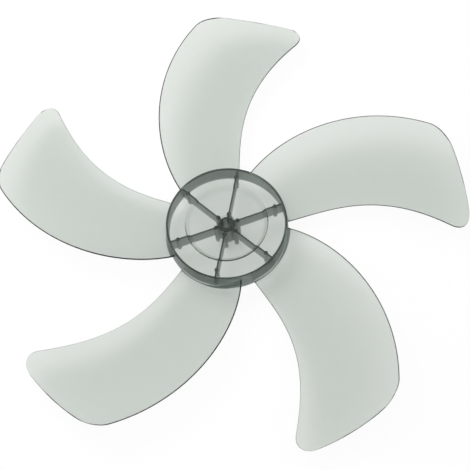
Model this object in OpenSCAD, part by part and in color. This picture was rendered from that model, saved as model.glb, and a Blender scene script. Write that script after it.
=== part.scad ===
// Rotor of a table or stand fan, moulded in one piece of clear tinted plastic.
// A shallow drum with a closed front carries five swept blades. Inside the drum
// six ribs join its wall to a boss that is bored for the motor shaft.
// The axis is Z and the front, where the air leaves, is +Z. The origin lies on
// the axis where the shaft's cross pin seats, and the first rib runs along +X.

/* [Drum] */
// Outside diameter of the drum at its front
hub_d = 97.5; // [86:0.5:110]
// Depth of the drum from its front face to its open rim
hub_h = 19.4; // [16:0.2:26]
// Thickness of the drum's wall
hub_wall = 1.6; // [1.2:0.1:2.4]
// Flare of the wall towards the open rim, in degrees
hub_draft = 2.5; // [0:0.5:4]
// Thickness of the front face
face_t = 1.6; // [1.2:0.1:2.4]
// Rounding of the front outer corner
corner_r = 1; // [0.4:0.1:1.2]

/* [Recess in the front face] */
// Diameter of the recess where its step begins
recess_d = 65.6; // [54:0.2:74]
// Depth of the recess
recess_depth = 2.6; // [1:0.1:4]
// Width of the sloping step, measured along the face
step_w = 2.7; // [1:0.1:5]

/* [Boss and shaft bore] */
// Diameter of the shaft bore
bore_d = 8; // [6:0.1:9]
// Outside diameter of the boss
boss_d = 12; // [11:0.1:13]
// Length of the boss behind the recess floor
boss_l = 24.6; // [21:0.2:30]
// Diameter of the collar round the bore at the front
collar_d = 13.6; // [12:0.2:16]
// Height of the collar above the recess floor
collar_h = 0.6; // [0.2:0.1:1.2]
// Width of the slot that the shaft's cross pin drives
slot_w = 3; // [2:0.1:3.2]
// Depth of the slot, from the end of the boss
slot_depth = 4.6; // [3:0.2:6]

/* [Ribs, pads and pins] */
// Number of ribs
ribs = 6; // [4:1:8]
// Thickness of a rib
rib_t = 1.4; // [1:0.1:2]
// How far the ribs stop short of the open rim
rib_setback = 2.8; // [1:0.1:5]
// Diameter of the circle that the outer pads stand on
pad_circle_d = 82.4; // [76:0.2:84]
// Diameter of an outer pad
pad_d = 3.4; // [2.4:0.1:4.4]
// How far a pad stands past the rear edge of its rib
pad_proud = 2; // [0:0.1:2.4]
// Diameter of the circle that the inner pins stand on
pin_circle_d = 18.2; // [17:0.1:22]
// Diameter of an inner pin
pin_d = 3.6; // [2.4:0.1:4.2]
// How far a pin stands past the end of the boss
pin_proud = 1.8; // [0:0.1:3]

/* [Blades] */
// Number of blades
blades = 5; // [3:1:5]
// Diameter over the blade tips
tip_d = 390; // [340:1:430]
// Angle from the first rib to the leading edge's root, in degrees
blade_phase = -12.6; // [-40:0.1:40]
// Thickness in the middle of a blade
blade_t = 2; // [1.4:0.1:3]
// Thickness that a blade gains where it meets the wall
root_gain = 1.2; // [0:0.1:2]
// Sag of the blade's hollow front face, half way between its edges
camber = 4.7; // [0:0.1:8]
// Distance of the leading edge's root from the open rim
lead_setback = 4.3; // [3:0.1:7]
// Distance of the trailing edge's root from the front face
trail_setback = 6.4; // [3:0.1:8]

/* [Leading edge, four control values from root to tip] */
// Angle of the second control value, in degrees
lead_a1 = 10.1; // [0:0.1:20]
// Angle of the third control value, in degrees
lead_a2 = -3.1; // [-12:0.1:6]
// Angle of the tip control value, in degrees
lead_a3 = -10.3; // [-20:0.1:0]
// Rise of the second control value above the root
lead_z1 = -3.2; // [-6:0.1:4]
// Rise of the third control value above the root
lead_z2 = 12.1; // [4:0.1:16]
// Rise of the tip control value above the root
lead_z3 = 4.8; // [0:0.1:12]
// Reach of the rounded tip corner along the radius
lead_corner_l = 15.7; // [6:0.1:30]
// Width of the rounded tip corner along the tip
lead_corner_w = 21.1; // [6:0.1:30]

/* [Trailing edge, four control values from root to tip] */
// Angle of the root control value from the leading edge's root, in degrees
trail_a0 = 61.7; // [45:0.1:66]
// Angle of the second control value, in degrees
trail_a1 = 44.4; // [34:0.1:56]
// Angle of the third control value, in degrees
trail_a2 = 33.4; // [24:0.1:44]
// Angle of the tip control value, in degrees
trail_a3 = 16.8; // [12:0.1:28]
// Rise of the second control value above the root
trail_z1 = 7.5; // [0:0.1:12]
// Rise of the third control value above the root
trail_z2 = 12.1; // [4:0.1:18]
// Rise of the tip control value above the root
trail_z3 = 10.2; // [4:0.1:18]
// Reach of the rounded tip corner along the radius
trail_corner_l = 8.2; // [4:0.1:20]
// Width of the rounded tip corner along the tip
trail_corner_w = 16.8; // [6:0.1:30]

/* [Hidden] */

// Heights along the axis
rear_z = -slot_depth;
floor_z = rear_z + boss_l;
front_z = floor_z + recess_depth;
rim_z = front_z - hub_h;
rib_z = rim_z + rib_setback;
pad_z = rib_z - pad_proud;
pin_z = rear_z - pin_proud;

// Radii of the drum
hub_r = hub_d / 2;
tip_r = tip_d / 2;
flare = hub_h * tan(hub_draft);
recess_r = recess_d / 2;
floor_r = recess_r - step_w;
// Middle of the boss's wall
boss_mid_r = (bore_d + boss_d) / 4;
// A cut runs this far past the faces it opens
past = 1;
// How steeply the collar's side slopes, as run over rise
collar_slope = 0.8;

// Fineness of the blade's surface
chord_steps = 14;
root_steps = 3;
span_steps = 13;
tip_steps = 7;
// Power that sets how short the rounding of a blade's edges is
edge_power = 24;
// Thickness left at the very tip, as a share of the blade's own
tip_share = 0.4;
// Length over which the blade thickens at its root
root_l = 5;

// Height on a cubic curve of four control values, u from 0 to 1
function cubic(p, u) =
    p[0] * pow(1 - u, 3) + 3 * p[1] * u * pow(1 - u, 2)
    + 3 * p[2] * u * u * (1 - u) + p[3] * pow(u, 3);

// Edges of the blade at a radius, as angles from the leading edge's root
function span(r) = (r - hub_r) / (tip_r - hub_r);
function lead_a(r) = cubic([0, lead_a1, lead_a2, lead_a3], span(r));
function trail_a(r) = cubic([trail_a0, trail_a1, trail_a2, trail_a3], span(r));

// Heights of the edges at a radius
function lead_z(r) =
    rim_z + lead_setback + cubic([0, lead_z1, lead_z2, lead_z3], span(r));
function trail_z(r) =
    front_z - trail_setback + cubic([0, trail_z1, trail_z2, trail_z3], span(r));

// Middle surface between the faces, s from 0 at the leading edge to 1 at the other
function mid_z(r, s) =
    (1 - s) * lead_z(r) + s * trail_z(r) - 4 * camber * s * (1 - s);

// Angle that a rounded corner takes off an edge at a radius
function corner(r, l, w) =
    tip_r - r >= l ? 0
    : (w * (1 - sqrt(max(0, 1 - pow(1 - (tip_r - r) / l, 2)))) / r) * 180 / PI;

// Half thickness, which falls to nothing at the edges in a short rounding
function half_t(r, c) =
    (blade_t + root_gain * pow(max(0, 1 - (r - hub_r) / root_l), 2)) / 2
    * (r < tip_r ? 1 : tip_share)
    * sqrt(max(0, 1 - pow(abs(2 * c - 1), edge_power)));

// Place on the blade as an angle and a height: c runs along the chord from the
// leading edge, side is 1 for the front surface and -1 for the rear one
function place(r, c, side) =
    let (
        from = lead_a(r) + corner(r, lead_corner_l, lead_corner_w),
        to = trail_a(r) - corner(r, trail_corner_l, trail_corner_w),
        a = from + (to - from) * c,
        s = (a - lead_a(r)) / (trail_a(r) - lead_a(r))
    )
    [a, mid_z(r, s) + side * half_t(r, c)];

function at(r, p) = [r * cos(p[0]), r * sin(p[0]), p[1]];

// Places of a closed section: along the front surface and back along the rear one
function section(r) = [
    for (i = [0 : 2 * chord_steps - 1])
        place(r, (1 - cos(180 * i / chord_steps)) / 2, i <= chord_steps ? 1 : -1)
];

// Middle of the drum's wall at a height
function wall_r(z) = hub_r - hub_wall / 2 + (front_z - z) * tan(hub_draft);

// Radii of the sections: close at the root, even along the blade, close at the tip
corner_l = max(lead_corner_l, trail_corner_l);
plain_l = tip_r - corner_l - hub_r - root_l;
blade_radii = concat(
    [for (i = [1 : root_steps]) hub_r + root_l * i / root_steps],
    [for (i = [1 : span_steps]) hub_r + root_l + plain_l * i / span_steps],
    [for (i = [1 : tip_steps]) tip_r - corner_l * (1 - sin(90 * i / tip_steps))]
);

// Lofted solid through closed sections of the same number of points
module loft(sections) {
    n = len(sections[0]);
    last = len(sections) - 1;
    half = n / 2;
    points = [for (s = sections) for (p = s) p];
    sides = [
        for (j = [0 : last - 1]) for (i = [0 : n - 1])
            let (a = j * n + i, b = j * n + (i + 1) % n)
            each [[a, b, b + n], [a, b + n, a + n]]
    ];
    root_cap = [
        for (i = [0 : half - 1]) each cap_pair(i, i + 1, (n - i) % n, n - i - 1, 0)
    ];
    tip_cap = [
        for (i = [0 : half - 1]) each cap_pair(i + 1, i, n - i - 1, (n - i) % n, last * n)
    ];
    polyhedron(points, concat(sides, root_cap, tip_cap), convexity = 6);
}

// Two triangles of a cap between the front and rear rows, or one where rows meet
function cap_pair(a, b, a_rear, b_rear, offset) = [
    if (b != b_rear) [a + offset, b_rear + offset, b + offset],
    if (a != a_rear) [a + offset, a_rear + offset, b_rear + offset]
];

// One blade, with its root section inside the drum's flared wall
module blade() {
    loft(concat(
        [[for (p = section(hub_r)) at(wall_r(p[1]), p)]],
        [for (r = blade_radii) [for (p = section(r)) at(r, p)]]
    ));
}

// Drum: front face with its recess, and the flared wall behind it
module drum() {
    corner_steps = 6;
    rotate_extrude($fn = 120)
        polygon(concat(
            [
                [0, floor_z],
                [floor_r, floor_z],
                [recess_r, front_z],
                [hub_r - corner_r, front_z]
            ],
            [for (i = [1 : corner_steps])
                let (a = 90 - 90 * i / corner_steps)
                [hub_r - corner_r + corner_r * cos(a), front_z - corner_r + corner_r * sin(a)]],
            [
                [hub_r + flare, rim_z],
                [hub_r + flare - hub_wall, rim_z],
                [hub_r - hub_wall, front_z - face_t],
                [recess_r + face_t / 2, front_z - face_t],
                [floor_r + face_t / 2, floor_z - face_t],
                [0, floor_z - face_t]
            ]
        ));
}

// Boss behind the face, and the low collar that a clamping nut bears on in front
module boss() {
    translate([0, 0, rear_z]) cylinder(h = boss_l, d = boss_d, $fn = 64);
    translate([0, 0, floor_z - face_t / 2])
        cylinder(h = face_t / 2 + collar_h, d = collar_d, $fn = 64);
    translate([0, 0, floor_z - face_t / 2])
        cylinder(
            h = face_t / 2 + collar_h / 2,
            d1 = collar_d + 2 * collar_slope,
            d2 = collar_d,
            $fn = 64
        );
}

// Rib along +X, from the boss to the wall, with its front edge inside the face
module rib() {
    far = hub_r - hub_wall / 2;
    rotate([90, 0, 0])
        linear_extrude(height = rib_t, center = true)
            polygon([
                [boss_mid_r, rib_z],
                [far, rib_z],
                [far, front_z - face_t / 2],
                [recess_r, front_z - face_t / 2],
                [floor_r, floor_z - face_t / 2],
                [boss_mid_r, floor_z - face_t / 2]
            ]);
}

// Web between the boss and the pin of one rib, as long as the boss
module pin_web() {
    translate([boss_mid_r, -rib_t / 2, rear_z])
        cube([pin_circle_d / 2 - boss_mid_r, rib_t, floor_z - face_t / 2 - rear_z]);
}

// Round pads and pins on one rib, where the mould pushes the part out
module pads() {
    translate([pad_circle_d / 2, 0, pad_z])
        cylinder(h = front_z - face_t / 2 - pad_z, d = pad_d, $fn = 32);
    translate([pin_circle_d / 2, 0, pin_z])
        cylinder(h = floor_z - face_t / 2 - pin_z, d = pin_d, $fn = 32);
}

// Shaft bore, and the slot across the end of the boss, turned to lie between ribs
module shaft_cut() {
    translate([0, 0, pin_z - past])
        cylinder(h = floor_z + collar_h - pin_z + 2 * past, d = bore_d, $fn = 64);
    rotate([0, 0, 180 / ribs])
        translate([-boss_d / 2 - past, -slot_w / 2, rear_z - past])
            cube([boss_d + 2 * past, slot_w, slot_depth + past]);
}

module fan_blade() {
    color([0.8, 0.82, 0.8, 0.8])
        union() {
            difference() {
                union() {
                    drum();
                    boss();
                    for (i = [0 : ribs - 1])
                        rotate([0, 0, 360 * i / ribs]) {
                            rib();
                            pin_web();
                            pads();
                        }
                }
                shaft_cut();
            }
            for (i = [0 : blades - 1])
                rotate([0, 0, blade_phase + 360 * i / blades]) blade();
        }
}

fan_blade();
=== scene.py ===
"""Clear tinted fan rotor, moulded in one piece, on a plain pale floor.

The moulding is worked out as smooth surfaces from the sizes of its sub-parts: the drum with its
recessed front, the bored boss, six ribs with their pads and pins, and five swept blades. They
are united into one closed shell, because light only bends rightly in clear plastic when no
surface lies inside it.

Sizes are in millimetres and degrees, and meshes are in metres. The axis is Z, the front is +Z.
"""

from __future__ import annotations

import logging
import math
from collections.abc import Iterable
from dataclasses import dataclass, field
from enum import Enum

import bmesh
import bpy
import numpy as np
from mathutils import Matrix, Vector

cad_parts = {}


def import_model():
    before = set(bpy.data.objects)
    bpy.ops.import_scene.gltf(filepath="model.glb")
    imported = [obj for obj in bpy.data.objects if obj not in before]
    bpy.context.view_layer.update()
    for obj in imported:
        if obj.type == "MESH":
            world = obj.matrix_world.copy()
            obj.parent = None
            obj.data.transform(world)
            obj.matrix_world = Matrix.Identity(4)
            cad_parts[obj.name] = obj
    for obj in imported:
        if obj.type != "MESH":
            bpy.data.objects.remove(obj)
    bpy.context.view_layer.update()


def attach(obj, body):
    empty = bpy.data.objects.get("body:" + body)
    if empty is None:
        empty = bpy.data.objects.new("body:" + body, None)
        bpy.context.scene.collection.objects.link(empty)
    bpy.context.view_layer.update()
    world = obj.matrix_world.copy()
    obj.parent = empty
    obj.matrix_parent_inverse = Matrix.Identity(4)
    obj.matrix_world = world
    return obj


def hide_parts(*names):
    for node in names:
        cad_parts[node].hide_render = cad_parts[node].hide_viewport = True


LOG = logging.getLogger("fan_rotor")
MM = 0.001
NODE = "fan_blade"
BODY = "root"
# Face mark of the hub's upright faces, which makes them matt and carries their painted shade.
WALL_MATT_SHADE_MARK = "side_wall_matt_painted_shade"


class Join(Enum):
    """What a solid does to the moulding it is joined with."""

    ADD = "UNION"
    CUT = "DIFFERENCE"


@dataclass
class Shell:
    """Closed surface as corner places in millimetres and faces of corner numbers."""

    points: np.ndarray
    faces: list[tuple[int, ...]]

    def turned(self, degrees: float) -> Shell:
        """Return the shell turned about the axis.

        Args:
            degrees: Angle of the turn, counter-clockwise seen from the front.

        Returns:
            A new shell.
        """
        a = math.radians(degrees)
        turn = np.array([[math.cos(a), -math.sin(a), 0], [math.sin(a), math.cos(a), 0], [0, 0, 1]])
        return Shell(self.points @ turn.T, self.faces)

    def moved(self, x: float, y: float, z: float) -> Shell:
        """Return the shell moved by three lengths."""
        return Shell(self.points + np.array([x, y, z]), self.faces)

    def to_object(self, name: str) -> bpy.types.Object:
        """Make a mesh object in metres, with its faces outwards, and link it to the scene.

        A closed shell whose signed volume is negative is inside out, so its faces are turned.

        Args:
            name: Name of the object.

        Returns:
            The new object, at the origin.
        """
        mesh = bpy.data.meshes.new(name)
        mesh.from_pydata((self.points * MM).tolist(), [], self.faces)
        mesh.validate()
        work = bmesh.new()
        work.from_mesh(mesh)
        if work.calc_volume(signed=True) < 0:
            bmesh.ops.reverse_faces(work, faces=work.faces)
            work.to_mesh(mesh)
        work.free()
        mesh.update()
        made = bpy.data.objects.new(name, mesh)
        bpy.context.scene.collection.objects.link(made)
        return made


def grid_faces(rows: int, columns: int, rows_close: bool, columns_close: bool) -> np.ndarray:
    """Number the corners of the faces of a grid of points.

    The point of row i and column j has number i * columns + j. A face joins it to its
    neighbours in the next row and column, which wrap round where the grid closes.

    Args:
        rows: Number of rows.
        columns: Number of points in a row.
        rows_close: Whether the last row joins the first.
        columns_close: Whether the last column joins the first.

    Returns:
        An array with four corner numbers for each face.
    """
    i = np.arange(rows if rows_close else rows - 1)[:, None]
    j = np.arange(columns if columns_close else columns - 1)[None, :]
    after_i = (i + 1) % rows
    after_j = (j + 1) % columns
    corners = [
        i * columns + j,
        after_i * columns + j,
        after_i * columns + after_j,
        i * columns + after_j,
    ]
    return np.stack([np.broadcast_to(c, (i.size, j.size)) for c in corners], -1).reshape(-1, 4)


def arc_profile(corners: list[tuple[float, float, float]], steps: int = 6) -> np.ndarray:
    """Round the corners of a closed outline.

    Each corner is replaced by an arc that touches both of its sides. The arc's ends lie at
    radius / tan(half the corner's angle) from the corner, and its points are spread evenly
    by angle round its centre.

    Args:
        corners: Places of the corners and the radius of each, where 0 stays sharp.
        steps: Spans in each arc.

    Returns:
        The points of the outline, one row each.
    """
    count = len(corners)
    out = []
    for k, (x, y, radius) in enumerate(corners):
        here = np.array([x, y])
        if radius <= 0:
            out.append(here[None])
            continue
        back = np.array(corners[k - 1][:2]) - here
        ahead = np.array(corners[(k + 1) % count][:2]) - here
        back = back / np.linalg.norm(back)
        ahead = ahead / np.linalg.norm(ahead)
        half = math.acos(float(np.clip(back @ ahead, -1, 1))) / 2
        middle = back + ahead
        centre = here + middle / np.linalg.norm(middle) * radius / math.sin(half)
        start = here + back * radius / math.tan(half) - centre
        end = here + ahead * radius / math.tan(half) - centre
        turn = math.atan2(start[0] * end[1] - start[1] * end[0], float(start @ end))
        a = turn * np.linspace(0, 1, steps + 1)
        side = np.array([-start[1], start[0]])
        out.append(centre + np.cos(a)[:, None] * start + np.sin(a)[:, None] * side)
    return np.concatenate(out)


def refined(outline: np.ndarray, longest: float) -> np.ndarray:
    """Split the long sides of a closed outline into even parts.

    Args:
        outline: Points of the outline, one row each.
        longest: Length that no side may pass.

    Returns:
        The outline with points added on its sides.
    """
    ahead = np.roll(outline, -1, axis=0) - outline
    parts = np.maximum(1, np.ceil(np.linalg.norm(ahead, axis=1) / longest).astype(int))
    index = np.repeat(np.arange(len(outline)), parts)
    first = np.concatenate([[0], np.cumsum(parts)[:-1]])
    share = (np.arange(parts.sum()) - first[index]) / parts[index]
    return outline[index] + ahead[index] * share[:, None]


def ring(outline: np.ndarray, steps: int) -> Shell:
    """Turn a closed outline of radius and height once round the axis.

    Args:
        outline: Radius and height of each point, none of them on the axis.
        steps: Sections round the axis.

    Returns:
        A closed shell like a ring.
    """
    a = 2 * np.pi * np.arange(steps)[:, None] / steps
    r, z = outline[:, 0][None], outline[:, 1][None]
    points = np.stack([r * np.cos(a), r * np.sin(a), np.broadcast_to(z, (steps, len(outline)))], -1)
    faces = grid_faces(steps, len(outline), True, True)
    return Shell(points.reshape(-1, 3), [tuple(f) for f in faces.tolist()])


def rod(profile: np.ndarray, steps: int) -> Shell:
    """Turn an open profile that begins and ends beside the axis, and cap both ends.

    Args:
        profile: Radius and height of each point, from the lower end to the upper one.
        steps: Sections round the axis.

    Returns:
        A closed round shell.
    """
    a = 2 * np.pi * np.arange(steps)[None] / steps
    r, z = profile[:, 0][:, None], profile[:, 1][:, None]
    points = np.stack([r * np.cos(a), r * np.sin(a), np.broadcast_to(z, (len(profile), steps))], -1)
    faces = grid_faces(len(profile), steps, False, True)[:, ::-1]
    last = (len(profile) - 1) * steps
    caps = [tuple(range(steps))[::-1], tuple(range(last, last + steps))]
    return Shell(points.reshape(-1, 3), [tuple(f) for f in faces.tolist()] + caps)


def sleeve(sections: np.ndarray) -> Shell:
    """Skin closed sections of the same number of points, and cap the first and the last.

    Args:
        sections: Array of section by point by three coordinates.

    Returns:
        A closed shell.
    """
    count, size = sections.shape[:2]
    faces = grid_faces(count, size, False, True)
    last = (count - 1) * size
    caps = [tuple(range(size)), tuple(range(last, last + size))[::-1]]
    return Shell(sections.reshape(-1, 3), [tuple(f) for f in faces.tolist()] + caps)


def bezier(values: Iterable[float], u: np.ndarray) -> np.ndarray:
    """Height of the cubic curve of four control values at each share of its run."""
    p = list(values)
    return (
        p[0] * (1 - u) ** 3
        + 3 * p[1] * u * (1 - u) ** 2
        + 3 * p[2] * u**2 * (1 - u)
        + p[3] * u**3
    )


@dataclass(frozen=True)
class Heights:
    """Levels along the axis, from the seat of the shaft's cross pin."""

    boss_end: float = -4.6
    pin_end: float = -6.4
    rim: float = 3.2
    rib: float = 6.0
    pad: float = 4.0
    floor: float = 20.0
    front: float = 22.6


@dataclass
class Drum:
    """Drum with its recessed front face, the bored boss and the collar, as one turned body."""

    level: Heights = field(default_factory=Heights)
    radius: float = 48.75
    wall: float = 1.6
    draft: float = 2.5
    face: float = 1.6
    corner: float = 1.0
    recess: float = 32.8
    step: float = 2.7
    bore: float = 4.0
    boss: float = 6.0
    collar: float = 6.8
    collar_height: float = 0.6
    slot: float = 3.0
    collar_foot: float = 0.5
    boss_end_round: float = 0.4
    boss_foot_round: float = 0.6
    step_round: float = 0.5
    rim_round: float = 0.35
    fine_round: float = 0.3
    collar_round: float = 0.15
    bore_round: float = 0.25
    slot_round: float = 0.4
    past: float = 1.0
    longest_side: float = 2.5
    round_steps: int = 5
    slot_round_steps: int = 4
    sections: int = 288

    def flare(self, height: float) -> float:
        """How much wider the wall is at a height than at the front."""
        return (self.level.front - height) * math.tan(math.radians(self.draft))

    def wall_middle(self, height: np.ndarray) -> np.ndarray:
        """Radius of the middle of the wall at each height."""
        return self.radius - self.wall / 2 + (self.level.front - height) * math.tan(
            math.radians(self.draft)
        )

    def body(self) -> Shell:
        """Turn the section of the drum, boss and collar round the axis.

        Returns:
            A closed shell like a ring, open at the bore.
        """
        h = self.level
        rim = self.radius + self.flare(h.rim)
        under = h.floor - self.face
        step_foot = self.recess - self.step
        corners = [
            (self.bore, h.boss_end, self.fine_round),
            (self.boss, h.boss_end, self.boss_end_round),
            (self.boss, under, self.boss_foot_round),
            (step_foot + self.face / 2, under, self.step_round),
            (self.recess + self.face / 2, h.front - self.face, self.step_round),
            (self.radius - self.wall, h.front - self.face, self.step_round),
            (rim - self.wall, h.rim, self.rim_round),
            (rim, h.rim, self.rim_round),
            (self.radius, h.front, self.corner),
            (self.recess, h.front, self.step_round),
            (step_foot, h.floor, self.step_round),
            (self.collar + self.collar_foot, h.floor, self.fine_round),
            (self.collar, h.floor + self.collar_height, self.collar_round),
            (self.bore, h.floor + self.collar_height, self.bore_round),
        ]
        outline = arc_profile(corners, self.round_steps)
        return ring(refined(outline, self.longest_side), self.sections)

    def pin_slot(self) -> Shell:
        """Block that cuts the slot for the shaft's cross pin across the boss's end."""
        half = self.slot / 2
        reach = self.boss + self.past
        low = -2 * self.past
        depth = -self.level.boss_end
        corners = [
            (-half, low, 0.0),
            (half, low, 0.0),
            (half, depth, self.slot_round),
            (-half, depth, self.slot_round),
        ]
        outline = arc_profile(corners, self.slot_round_steps)
        x = np.array([-reach, reach])[:, None]
        y = outline[:, 0][None]
        z = outline[:, 1][None] + self.level.boss_end
        shape = (2, len(outline))
        return sleeve(np.stack([np.broadcast_to(v, shape) for v in (x, y, z)], -1))


@dataclass
class Rib:
    """Radial rib with its outer pad, its inner pin and the web between pin and boss."""

    drum: Drum = field(default_factory=Drum)
    thickness: float = 1.4
    edge: float = 0.45
    pad_place: float = 41.2
    pad_radius: float = 1.7
    pin_place: float = 9.1
    pin_radius: float = 1.8
    post_edge: float = 0.5
    edge_points: int = 5
    post_sections: int = 40
    floor_points: int = 12
    step_points: int = 4
    outer_points: int = 8

    def front_height(self, x: np.ndarray) -> np.ndarray:
        """Middle of the front face above each place along the rib, down and up its step."""
        d = self.drum
        return np.interp(
            x,
            [d.recess - d.step, d.recess],
            [d.level.floor - d.face / 2, d.level.front - d.face / 2],
        )

    def blade_like(self, x: np.ndarray, rear: float, front: np.ndarray) -> Shell:
        """Upright wall along +X whose rear edge is rounded.

        The section is a U: the sides rise from the rounded rear edge to the front height.

        Args:
            x: Places of the sections along the rib.
            rear: Height of the rear edge.
            front: Height of the front edge at each place.

        Returns:
            A closed shell.
        """
        half = self.thickness / 2
        a = np.linspace(0, np.pi / 2, self.edge_points)
        y = np.concatenate([
            [-half],
            -half + self.edge * (1 - np.cos(a)),
            (half - self.edge * (1 - np.cos(a)))[::-1],
            [half],
        ])
        lift = self.edge * (1 - np.sin(a))
        low = rear + np.concatenate([lift, lift[::-1]])
        z = np.concatenate([
            front[:, None],
            np.broadcast_to(low, (len(x), low.size)),
            front[:, None],
        ], 1)
        grid = np.stack([
            np.broadcast_to(x[:, None], z.shape),
            np.broadcast_to(y[None], z.shape),
            z,
        ], -1)
        return sleeve(grid)

    def shells(self) -> list[Shell]:
        """Rib, web, pad and pin along +X.

        Returns:
            Four closed shells that reach into each other.
        """
        d = self.drum
        h = d.level
        near = (d.bore + d.boss) / 2
        far = d.radius - d.wall / 2
        foot = d.recess - d.step
        x = np.concatenate([
            np.linspace(near, foot, self.floor_points),
            np.linspace(foot, d.recess, self.step_points)[1:],
            np.linspace(d.recess, far, self.outer_points)[1:],
        ])
        rib = self.blade_like(x, h.rib, self.front_height(x))
        x = np.array([near, self.pin_place])
        web = self.blade_like(x, h.boss_end, self.front_height(x))
        pad = self.post(self.pad_radius, h.pad, h.front - d.face / 2).moved(self.pad_place, 0, 0)
        pin = self.post(self.pin_radius, h.pin_end, h.floor - d.face / 2)
        return [rib, web, pad, pin.moved(self.pin_place, 0, 0)]

    def post(self, radius: float, low: float, high: float) -> Shell:
        """Round post with a rounded lower end.

        Args:
            radius: Radius of the post.
            low: Height of its rounded end.
            high: Height of its flat end.

        Returns:
            A closed shell on the axis.
        """
        edge = self.post_edge
        a = np.linspace(0, np.pi / 2, self.edge_points)
        r = np.concatenate([radius - edge + edge * np.sin(a), [radius]])
        z = np.concatenate([low + edge * (1 - np.cos(a)), [high]])
        return rod(np.stack([r, z], -1), self.post_sections)


@dataclass
class Blade:
    """Swept and twisted blade between two edges that are cubic curves over the radius."""

    drum: Drum = field(default_factory=Drum)
    tip: float = 195.0
    phase: float = -12.6
    thickness: float = 2.0
    root_gain: float = 1.2
    root_length: float = 5.0
    camber: float = 4.7
    lead_setback: float = 4.3
    trail_setback: float = 6.4
    lead_angles: tuple[float, ...] = (0.0, 10.1, -3.1, -10.3)
    lead_rises: tuple[float, ...] = (0.0, -3.2, 12.1, 4.8)
    trail_angles: tuple[float, ...] = (61.7, 44.4, 33.4, 16.8)
    trail_rises: tuple[float, ...] = (0.0, 7.5, 12.1, 10.2)
    lead_corner: tuple[float, float] = (15.7, 21.1)
    trail_corner: tuple[float, float] = (8.2, 16.8)
    tip_edge: float = 1.0
    tip_thin: float = 0.12
    root_points: int = 7
    chord_steps: int = 44
    span_steps: int = 60
    tip_steps: int = 16

    def radii(self) -> np.ndarray:
        """Radii of the sections, close at the root and at the rounded tip."""
        corner = max(self.lead_corner[0], self.trail_corner[0])
        start = self.drum.radius
        root = np.linspace(start, start + self.root_length, self.root_points)[1:]
        plain = np.linspace(root[-1], self.tip - corner, self.span_steps)[1:]
        a = np.linspace(0, np.pi / 2, self.tip_steps)[1:]
        return np.concatenate([root, plain, self.tip - corner * (1 - np.sin(a))])

    def section(self, r: np.ndarray) -> tuple[np.ndarray, np.ndarray]:
        """Angle and height of the points of the closed sections at each radius.

        A section runs along the front surface from the leading edge and back along the
        rear one. The middle surface lies between the edges' heights and sags by the
        camber half way. The half thickness ends in a short round edge.

        Args:
            r: Radii of the sections, as a column.

        Returns:
            Angles in degrees and heights, section by point.
        """
        h = self.drum.level
        u = (r - self.drum.radius) / (self.tip - self.drum.radius)
        lead_a = bezier(self.lead_angles, u)
        trail_a = bezier(self.trail_angles, u)
        lead_z = h.rim + self.lead_setback + bezier(self.lead_rises, u)
        trail_z = h.front - self.trail_setback + bezier(self.trail_rises, u)
        i = np.arange(2 * self.chord_steps)[None]
        c = (1 - np.cos(np.pi * i / self.chord_steps)) / 2
        side = np.where(i <= self.chord_steps, 1.0, -1.0)
        start = lead_a + self.inset(r, *self.lead_corner)
        end = trail_a - self.inset(r, *self.trail_corner)
        a = start + (end - start) * c
        s = (a - lead_a) / (trail_a - lead_a)
        middle = (1 - s) * lead_z + s * trail_z - 4 * self.camber * s * (1 - s)
        gain = self.root_gain * np.maximum(0, 1 - (r - self.drum.radius) / self.root_length) ** 2
        half = (self.thickness + gain) / 2
        width = np.radians(end - start) * r
        inward = np.minimum(c, 1 - c) * width
        near = np.clip(inward / (self.thickness / 2), 0, 1)
        rounding = np.sqrt(1 - (1 - near) ** 2)
        edge = np.clip((self.tip - r) / self.tip_edge, 0, 1)
        tip = np.sqrt(np.maximum(self.tip_thin, 1 - (1 - edge) ** 2))
        return a, middle + side * half * rounding * tip

    def inset(self, r: np.ndarray, length: float, width: float) -> np.ndarray:
        """Angle that an elliptical corner takes off an edge at each radius.

        Args:
            r: Radii.
            length: Reach of the corner along the radius.
            width: Width of the corner along the tip.

        Returns:
            Angles in degrees, zero where the corner has not begun.
        """
        share = np.clip(1 - (self.tip - r) / length, 0, 1)
        return np.degrees(width * (1 - np.sqrt(1 - share**2)) / r)

    def shell(self) -> Shell:
        """Skin the sections from inside the drum's wall to the tip.

        Returns:
            A closed shell.
        """
        r = self.radii()[:, None]
        a, z = self.section(r)
        root_a, root_z = self.section(np.array([[self.drum.radius]]))
        r = np.concatenate([self.drum.wall_middle(root_z), np.broadcast_to(r, a.shape)])
        a = np.radians(np.concatenate([root_a, a]))
        z = np.concatenate([root_z, z])
        grid = np.stack([r * np.cos(a), r * np.sin(a), z], -1)
        return sleeve(grid)


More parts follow.
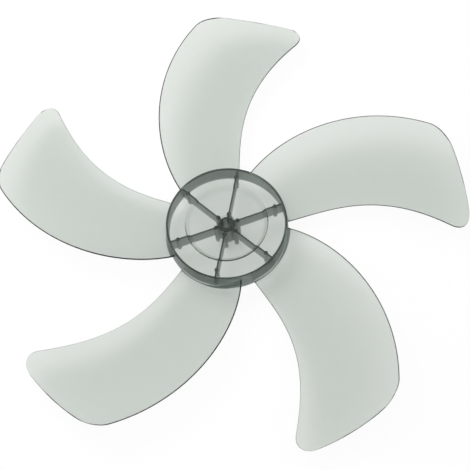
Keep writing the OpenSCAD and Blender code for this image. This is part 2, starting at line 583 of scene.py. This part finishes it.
@dataclass(frozen=True)
class ClearPlastic:
    """Glossy see-through styrene plastic with a grey-green smoke tint, with painted shade on the
    hub's upright faces.
    """

    name: str = "clear_smoke_plastic"
    tint: tuple[float, float, float] = (0.80, 0.83, 0.80)
    density: float = 620.0
    clear_colour: tuple[float, float, float] = (0.97, 0.98, 0.97)
    # Painted shade: darker base colour for the hub's upright faces.
    wall_painted_shade_colour: tuple[float, float, float] = (0.26, 0.30, 0.30)
    gloss_roughness: float = 0.06
    wall_roughness: float = 0.35
    shadow_pass: tuple[float, float, float] = (0.93, 0.93, 0.93)
    ior: float = 1.57

    def material(self) -> bpy.types.Material:
        """Make the material with clear plastic's surface and absorption inside. Upright hub faces
        are made rougher and get a darker base colour, which is painted shade.

        Returns:
            The new material.
        """
        made = bpy.data.materials.new(self.name)
        made.use_nodes = True
        tree = made.node_tree
        tree.nodes.clear()
        out = tree.nodes.new("ShaderNodeOutputMaterial")
        surface = tree.nodes.new("ShaderNodeBsdfPrincipled")
        surface.inputs["IOR"].default_value = self.ior
        surface.inputs["Transmission Weight"].default_value = 1.0
        side = tree.nodes.new("ShaderNodeAttribute")
        side.attribute_name = WALL_MATT_SHADE_MARK
        rough = tree.nodes.new("ShaderNodeMapRange")
        rough.inputs["To Min"].default_value = self.gloss_roughness
        rough.inputs["To Max"].default_value = self.wall_roughness
        tree.links.new(side.outputs["Fac"], rough.inputs["Value"])
        tree.links.new(rough.outputs["Result"], surface.inputs["Roughness"])
        # Painted shade: the marked upright faces take the darker colour in place of the clear one.
        colour = tree.nodes.new("ShaderNodeMix")
        colour.data_type = "RGBA"
        colour.inputs["A"].default_value = (*self.clear_colour, 1)
        colour.inputs["B"].default_value = (*self.wall_painted_shade_colour, 1)
        tree.links.new(side.outputs["Fac"], colour.inputs["Factor"])
        tree.links.new(colour.outputs["Result"], surface.inputs["Base Color"])
        clear = tree.nodes.new("ShaderNodeBsdfTransparent")
        clear.inputs["Color"].default_value = (*self.shadow_pass, 1)
        ray = tree.nodes.new("ShaderNodeLightPath")
        both = tree.nodes.new("ShaderNodeMixShader")
        tree.links.new(ray.outputs["Is Shadow Ray"], both.inputs["Fac"])
        tree.links.new(surface.outputs["BSDF"], both.inputs[1])
        tree.links.new(clear.outputs["BSDF"], both.inputs[2])
        inside = tree.nodes.new("ShaderNodeVolumeAbsorption")
        inside.inputs["Color"].default_value = (*self.tint, 1)
        inside.inputs["Density"].default_value = self.density
        tree.links.new(both.outputs["Shader"], out.inputs["Surface"])
        tree.links.new(inside.outputs["Volume"], out.inputs["Volume"])
        return made


@dataclass
class Moulding:
    """The whole rotor: all its sub-parts united into one closed shell."""

    drum: Drum = field(default_factory=Drum)
    rib: Rib = field(default_factory=Rib)
    blade: Blade = field(default_factory=Blade)
    ribs: int = 6
    blades: int = 5
    smooth_below: float = 32.0
    upright_below: float = 0.6
    rim_margin: float = 0.2

    def solids(self) -> list[tuple[Shell, Join]]:
        """List every solid of the moulding in the order in which it is joined.

        Returns:
            Shells, each with what it does to those before it.
        """
        out = [(self.drum.body(), Join.ADD)]
        for i in range(self.ribs):
            out += [(s.turned(360 * i / self.ribs), Join.ADD) for s in self.rib.shells()]
        out.append((self.drum.pin_slot().turned(180 / self.ribs), Join.CUT))
        blade = self.blade.shell()
        for i in range(self.blades):
            out.append((blade.turned(self.blade.phase + 360 * i / self.blades), Join.ADD))
        return out

    def build(self, name: str) -> bpy.types.Object:
        """Unite the solids and shade the result smooth between its sharp edges.

        Args:
            name: Name of the finished piece.

        Returns:
            The object, at the origin.
        """
        solids = self.solids()
        made = solids[0][0].to_object(name)
        tools = []
        for i, (shell, join) in enumerate(solids[1:]):
            tool = shell.to_object(f"{name}_{i}")
            tools.append(tool)
            step = made.modifiers.new(f"join_{i}", "BOOLEAN")
            step.operation = join.value
            step.object = tool
            step.solver = "MANIFOLD"
        graph = bpy.context.evaluated_depsgraph_get()
        mesh = bpy.data.meshes.new_from_object(made.evaluated_get(graph))
        made.modifiers.clear()
        made.data = mesh
        for tool in tools:
            old = tool.data
            bpy.data.objects.remove(tool)
            bpy.data.meshes.remove(old)
        mesh.polygons.foreach_set("use_smooth", np.ones(len(mesh.polygons), bool))
        mesh.set_sharp_from_angle(angle=math.radians(self.smooth_below))
        self.mark_walls(mesh)
        mesh.update()
        return made

    def mark_walls(self, mesh: bpy.types.Mesh) -> None:
        """Mark the upright faces of the drum, ribs, posts and boss with 1 and the others with 0.
        The mark makes these faces matt and gives them painted shade through a darker colour.

        Args:
            mesh: Mesh of the moulding, in metres.
        """
        count = len(mesh.polygons)
        centre = np.empty(3 * count)
        normal = np.empty(3 * count)
        mesh.polygons.foreach_get("center", centre)
        mesh.polygons.foreach_get("normal", normal)
        radius = np.hypot(*centre.reshape(-1, 3)[:, :2].T) / MM
        upright = np.abs(normal.reshape(-1, 3)[:, 2]) < self.upright_below
        rim = self.drum.radius + self.drum.flare(self.drum.level.rim) + self.rim_margin
        mark = mesh.attributes.new(WALL_MATT_SHADE_MARK, "FLOAT", "FACE")
        mark.data.foreach_set("value", ((radius < rim) & upright).astype(np.float32))


@dataclass(frozen=True)
class Viewpoint:
    """Camera place, given by what it aims at and how it is turned."""

    aim: tuple[float, float, float] = (3.15, -11.05, 18.09)
    distance: float = 959.0
    azimuth: float = -102.04
    elevation: float = 66.05
    roll: float = 7.91
    lens: float = 91.72
    sensor: float = 36.0
    near_clip: float = 50.0

    def place(self) -> bpy.types.Object:
        """Make the camera and set it as the scene's.

        The camera looks down its own -Z at the aim. Its X axis lies level across the view
        before it is rolled clockwise about the view's line.

        Returns:
            The camera object.
        """
        a, e = math.radians(self.azimuth), math.radians(self.elevation)
        back = Vector((math.cos(e) * math.cos(a), math.cos(e) * math.sin(a), math.sin(e)))
        right = Vector((-math.sin(a), math.cos(a), 0))
        up = back.cross(right)
        turn = Matrix((right, up, back)).transposed().to_4x4()
        roll = Matrix.Rotation(-math.radians(self.roll), 4, "Z")
        data = bpy.data.cameras.new("photo_view")
        data.lens = self.lens
        data.sensor_width = self.sensor
        data.clip_start = self.near_clip * MM
        camera = bpy.data.objects.new("photo_view", data)
        place = (Vector(self.aim) + back * self.distance) * MM
        camera.matrix_world = Matrix.Translation(place) @ turn @ roll
        bpy.context.scene.collection.objects.link(camera)
        bpy.context.scene.camera = camera
        return camera


@dataclass
class Studio:
    """Plain pale floor, pale surroundings and a soft lamp."""

    floor_height: float = Heights.pin_end
    floor_size: float = 2400.0
    floor_shade: float = 0.9
    lift_seen: float = 0.9
    lift_through: float = 0.4
    sky: float = 0.75
    horizon: float = 0.2
    dim_below: float = 0.1
    pale_above: float = 0.7
    lamp_place: tuple[float, float, float] = (-250.0, 420.0, 900.0)
    lamp_size: float = 700.0
    lamp_power: float = 7.0

    def build(self) -> None:
        """Make the floor, the world and the lamp."""
        self.floor()
        self.world()
        self.lamp()

    def lamp(self) -> bpy.types.Object:
        """Make the broad soft lamp above the far left of the object.

        Returns:
            The lamp object.
        """
        data = bpy.data.lights.new("soft_lamp", "AREA")
        data.shape = "DISK"
        data.size = self.lamp_size * MM
        data.energy = self.lamp_power
        lamp = bpy.data.objects.new("soft_lamp", data)
        lamp.visible_glossy = False
        lamp.visible_transmission = False
        place = Vector(self.lamp_place) * MM
        lamp.location = place
        lamp.rotation_euler = place.to_track_quat("Z", "Y").to_euler()
        bpy.context.scene.collection.objects.link(lamp)
        return lamp

    def floor(self) -> bpy.types.Object:
        """Make the floor, whose glow lifts it to white for the camera but keeps shadows.

        Rays that the plastic bends or mirrors see less of the glow and more of the matt floor.

        Returns:
            The floor object.
        """
        half = self.floor_size / 2
        corners = np.array([[-half, -half, 0], [half, -half, 0], [half, half, 0], [-half, half, 0]])
        made = Shell(corners + [0, 0, self.floor_height], [(0, 1, 2, 3)]).to_object("floor")
        material = bpy.data.materials.new("pale_floor")
        material.use_nodes = True
        tree = material.node_tree
        tree.nodes.clear()
        out = tree.nodes.new("ShaderNodeOutputMaterial")
        matt = tree.nodes.new("ShaderNodeBsdfDiffuse")
        matt.inputs["Color"].default_value = (self.floor_shade,) * 3 + (1,)
        glow = tree.nodes.new("ShaderNodeEmission")
        ray = tree.nodes.new("ShaderNodeLightPath")
        bent = tree.nodes.new("ShaderNodeMath")
        bent.operation = "MAXIMUM"
        tree.links.new(ray.outputs["Is Glossy Ray"], bent.inputs[0])
        tree.links.new(ray.outputs["Is Transmission Ray"], bent.inputs[1])
        through = tree.nodes.new("ShaderNodeMath")
        through.operation = "MULTIPLY"
        through.inputs[1].default_value = self.lift_through
        tree.links.new(bent.outputs[0], through.inputs[0])
        lift = tree.nodes.new("ShaderNodeMath")
        lift.operation = "MULTIPLY_ADD"
        lift.inputs[1].default_value = self.lift_seen
        tree.links.new(ray.outputs["Is Camera Ray"], lift.inputs[0])
        tree.links.new(through.outputs[0], lift.inputs[2])
        both = tree.nodes.new("ShaderNodeMixShader")
        tree.links.new(lift.outputs[0], both.inputs["Fac"])
        tree.links.new(matt.outputs[0], both.inputs[1])
        tree.links.new(glow.outputs[0], both.inputs[2])
        tree.links.new(both.outputs[0], out.inputs["Surface"])
        made.data.materials.append(material)
        return made

    def world(self) -> None:
        """Set surroundings that are pale above, dimmer round the sides and white to the camera."""
        world = bpy.data.worlds.new("pale_room")
        bpy.context.scene.world = world
        world.use_nodes = True
        tree = world.node_tree
        background = tree.nodes["Background"]
        background.inputs["Color"].default_value = (1, 1, 1, 1)
        place = tree.nodes.new("ShaderNodeTexCoord")
        parts = tree.nodes.new("ShaderNodeSeparateXYZ")
        tree.links.new(place.outputs["Generated"], parts.inputs[0])
        ramp = tree.nodes.new("ShaderNodeMapRange")
        ramp.interpolation_type = "SMOOTHSTEP"
        ramp.inputs["From Min"].default_value = self.dim_below
        ramp.inputs["From Max"].default_value = self.pale_above
        ramp.inputs["To Min"].default_value = self.horizon
        ramp.inputs["To Max"].default_value = self.sky
        tree.links.new(parts.outputs["Z"], ramp.inputs["Value"])
        ray = tree.nodes.new("ShaderNodeLightPath")
        seen = tree.nodes.new("ShaderNodeMath")
        seen.operation = "MAXIMUM"
        tree.links.new(ramp.outputs["Result"], seen.inputs[0])
        tree.links.new(ray.outputs["Is Camera Ray"], seen.inputs[1])
        tree.links.new(seen.outputs[0], background.inputs["Strength"])


def main() -> None:
    """Load the frame, build the moulding and the studio, and report each piece."""
    logging.basicConfig(level=logging.INFO, format="%(name)s: %(message)s")
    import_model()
    Viewpoint().place()
    rotor = Moulding().build("clear_moulding")
    rotor.data.materials.clear()
    rotor.data.materials.append(ClearPlastic().material())
    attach(rotor, BODY)
    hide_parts(NODE)
    LOG.info("%s: %d faces", rotor.name, len(rotor.data.polygons))
    Studio().build()
    scene = bpy.context.scene
    scene.view_settings.view_transform = "Standard"


if __name__ == "__main__":
    main()
